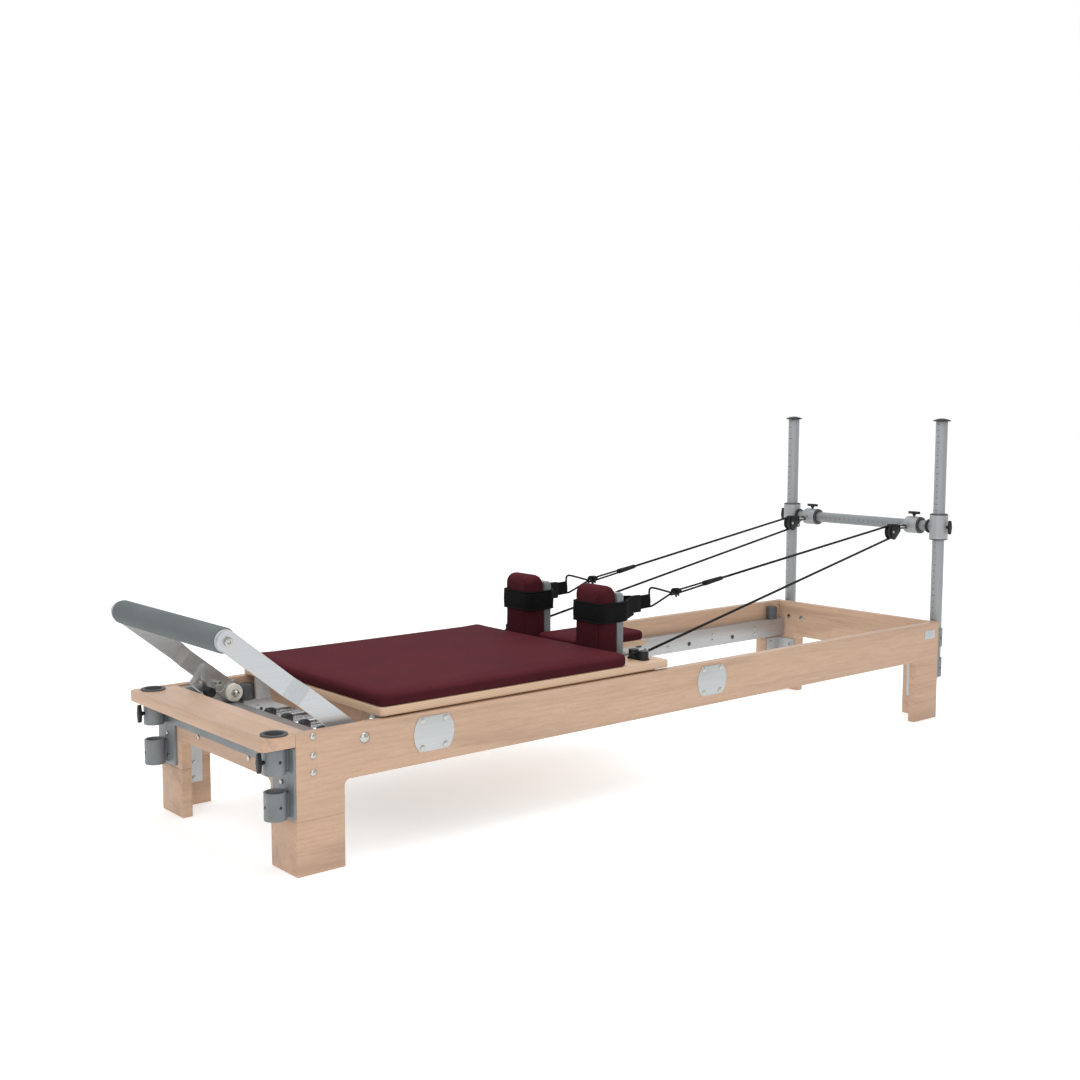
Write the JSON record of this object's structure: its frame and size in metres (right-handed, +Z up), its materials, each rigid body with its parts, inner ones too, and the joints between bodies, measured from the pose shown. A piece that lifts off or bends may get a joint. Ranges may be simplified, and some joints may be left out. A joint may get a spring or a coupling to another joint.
{
  "type": "pilates reformer",
  "caption": "Wooden reformer bench with a sprung sliding carriage, folding footbar, shoulder rests and a pulley crossbar on uprights.",
  "frame": {"origin": "middle of the object's footprint, on the floor", "axes": "+X along the length from the footbar end to the head end with the uprights, +Y across to the far side, +Z up"},
  "size_m": [2.6047, 0.704, 0.98],
  "materials": {
    "beech": "clear satin lacquer",
    "birch_ply": "clear satin lacquer, layered edges",
    "zinc_steel": "bright zinc",
    "plain_aluminium": "brushed",
    "tower_aluminium": "satin anodised",
    "badge_aluminium": "fine brushed, plain",
    "grey_paint": "satin powder coat",
    "grey_rubber": "matt",
    "black_plastic": "fine texture",
    "white_nylon": "smooth",
    "raw_steel": "drawn",
    "grey_foam": "closed-cell foam, matt",
    "burgundy_leatherette": "fine grain, semi-matt",
    "black_webbing": "woven, padded",
    "black_rope": "braided"
  },
  "bodies": {
    "frame": {"side_rail_near": "beech", "side_rail_far": "beech", "foot_panel": "beech", "head_panel": "beech", "foot_plank": "beech", "leg_risers": "beech", "leg_brackets": "plain_aluminium", "frame_fasteners": "zinc_steel", "foot_socket_bracket": "grey_paint", "head_socket_brackets": "grey_paint", "plank_grommets": "grey_rubber", "rail_badges": "badge_aluminium", "track_rails": "plain_aluminium", "bumpers": "grey_rubber", "spring_bar": "plain_aluminium", "footbar_mounts": "plain_aluminium", "pivot_bolts": "zinc_steel", "pivot_washers": "white_nylon", "uprights": "tower_aluminium", "upright_caps": "black_plastic", "springs": "zinc_steel", "rope_near": "black_rope", "rope_far": "black_rope"},
    "crossbar": {"crossbar_tube": "tower_aluminium", "crossbar_sleeves": "tower_aluminium", "crossbar_rings": "black_plastic"},
    "footbar": {"footbar_arms": "plain_aluminium", "footbar_tube": "raw_steel", "footbar_pad": "grey_foam", "footbar_discs": "plain_aluminium", "footbar_bolts": "zinc_steel", "index_bracket": "plain_aluminium"},
    "index_pin": {"index_plunger": "black_plastic"},
    "carriage": {"carriage_board": "birch_ply", "carriage_cushion": "burgundy_leatherette", "wheel_brackets": "plain_aluminium", "carriage_beams": "beech", "shoulder_plates": "grey_paint", "shoulder_pads": "burgundy_leatherette", "rope_cleats": "black_plastic", "strap_loops": "black_webbing", "headrest_hinge": "zinc_steel"},
    "headrest": {"headrest_board": "birch_ply", "headrest_cushion": "burgundy_leatherette"},
    "near_collar": {"collar_near": "tower_aluminium", "collar_ring_near": "black_plastic", "pulley_fork_near": "black_plastic"},
    "near_sheave": {"sheave_near": "black_plastic"},
    "near_collar_knob": {"collar_knob_near": "black_plastic"},
    "near_tower_knob": {"tower_knob_near": "black_plastic"},
    "near_foot_knob": {"foot_knob_near": "black_plastic"},
    "far_collar": {"collar_far": "tower_aluminium", "collar_ring_far": "black_plastic", "pulley_fork_far": "black_plastic"},
    "far_sheave": {"sheave_far": "black_plastic"},
    "far_collar_knob": {"collar_knob_far": "black_plastic"},
    "far_tower_knob": {"tower_knob_far": "black_plastic"},
    "far_foot_knob": {"foot_knob_far": "black_plastic"},
    "front_wheels": {"front_wheels": "white_nylon"},
    "rear_wheels": {"rear_wheels": "white_nylon"}
  },
  "joints": [
    {"name": "carriage_slide", "type": "slide", "parent": "frame", "child": "carriage", "axis": [1, 0, 0], "range_m": [0, 0.95], "stiffness_N_per_m": 60, "springref_m": -0.3, "deforming": ["springs", "rope_near", "rope_far"]},
    {"name": "front_wheel_roll", "type": "hinge", "parent": "carriage", "child": "front_wheels", "pos_m": [-0.87215, 0, 0.283], "axis": [0, 1, 0], "range_deg": [-5, 2300]},
    {"name": "rear_wheel_roll", "type": "hinge", "parent": "carriage", "child": "rear_wheels", "pos_m": [-0.05215, 0, 0.283], "axis": [0, 1, 0], "range_deg": [-5, 2300]},
    {"name": "headrest_tilt", "type": "hinge", "parent": "carriage", "child": "headrest", "pos_m": [-0.13815, 0, 0.345], "axis": [0, -1, 0], "range_deg": [0, 30]},
    {"name": "footbar_pivot", "type": "hinge", "parent": "frame", "child": "footbar", "pos_m": [-0.97465, 0, 0.284], "axis": [0, 1, 0], "range_deg": [-13, 50]},
    {"name": "index_pull", "type": "slide", "parent": "footbar", "child": "index_pin", "axis": [0, -1, 0], "range_m": [0, 0.012], "stiffness_N_per_m": 800},
    {"name": "crossbar_height", "type": "slide", "parent": "frame", "child": "crossbar", "axis": [0, 0, 1], "range_m": [-0.22, 0.27]},
    {"name": "near_collar_shift", "type": "slide", "parent": "crossbar", "child": "near_collar", "axis": [0, 1, 0], "range_m": [-0.012, 0.12]},
    {"name": "far_collar_shift", "type": "slide", "parent": "crossbar", "child": "far_collar", "axis": [0, 1, 0], "range_m": [-0.12, 0]},
    {"name": "near_sheave_spin", "type": "hinge", "parent": "near_collar", "child": "near_sheave", "pos_m": [1.18685, -0.181, 0.606], "axis": [0, 1, 0], "continuous": true},
    {"name": "far_sheave_spin", "type": "hinge", "parent": "far_collar", "child": "far_sheave", "pos_m": [1.18685, 0.244, 0.606], "axis": [0, 1, 0], "continuous": true},
    {"name": "near_collar_knob_turn", "type": "hinge", "parent": "near_collar", "child": "near_collar_knob", "pos_m": [1.27285, -0.211, 0.66], "axis": [0, 0, 1], "continuous": true},
    {"name": "far_collar_knob_turn", "type": "hinge", "parent": "far_collar", "child": "far_collar_knob", "pos_m": [1.27285, 0.214, 0.66], "axis": [0, 0, 1], "continuous": true},
    {"name": "near_tower_knob_turn", "type": "hinge", "parent": "crossbar", "child": "near_tower_knob", "pos_m": [1.27285, -0.34, 0.626], "axis": [0, -1, 0], "continuous": true},
    {"name": "far_tower_knob_turn", "type": "hinge", "parent": "crossbar", "child": "far_tower_knob", "pos_m": [1.27285, 0.34, 0.626], "axis": [0, 1, 0], "continuous": true},
    {"name": "near_foot_knob_turn", "type": "hinge", "parent": "frame", "child": "near_foot_knob", "pos_m": [-1.20815, -0.302, 0.2605], "axis": [-1, 0, 0], "continuous": true},
    {"name": "far_foot_knob_turn", "type": "hinge", "parent": "frame", "child": "far_foot_knob", "pos_m": [-1.20815, 0.302, 0.2605], "axis": [-1, 0, 0], "continuous": true}
  ],
  "couplings": [
    {"joint": "front_wheel_roll", "follows": "carriage_slide", "rad_per_m": 40},
    {"joint": "rear_wheel_roll", "follows": "carriage_slide", "rad_per_m": 40}
  ]
}
